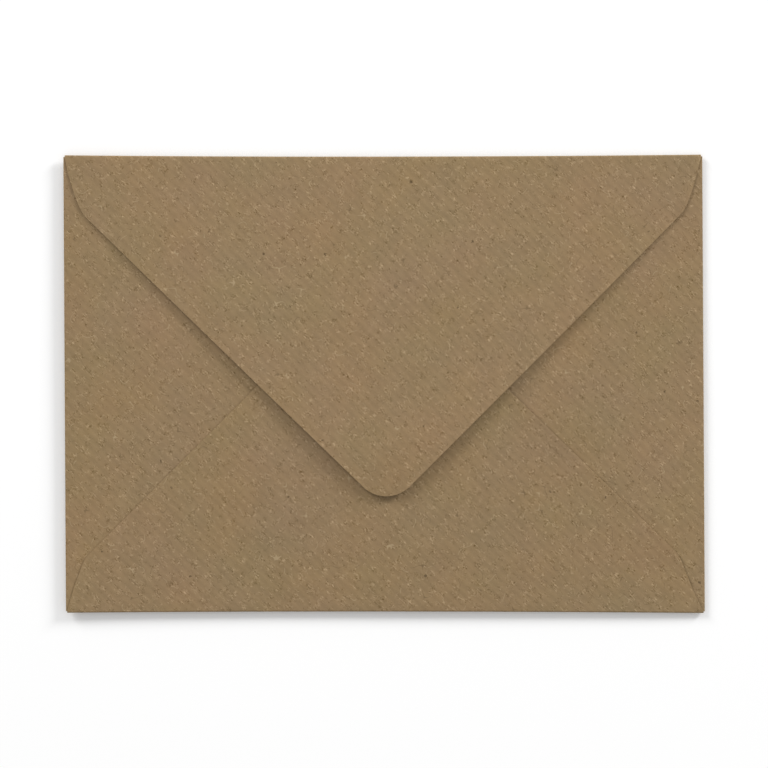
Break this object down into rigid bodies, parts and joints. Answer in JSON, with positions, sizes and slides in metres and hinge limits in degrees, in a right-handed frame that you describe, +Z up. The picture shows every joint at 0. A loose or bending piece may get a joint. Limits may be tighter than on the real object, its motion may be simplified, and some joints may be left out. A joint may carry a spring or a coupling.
{
  "type": "paper envelope",
  "caption": "Closed paper envelope with a pointed flap: one sheet of ribbed kraft paper, folded into a gummed pocket and lying on its address side.",
  "frame": {"origin": "on the table, under the middle of the envelope lying on its address side", "axes": "+X along the long side, +Y towards the crease of the closing flap, +Z up through the flap"},
  "size_m": [0.175, 0.125, 0.0044],
  "materials": {
    "kraft_paper": "matte ribbed kraft"
  },
  "bodies": {
    "root": {"envelope_sheet": "kraft_paper"}
  },
  "joints": []
}
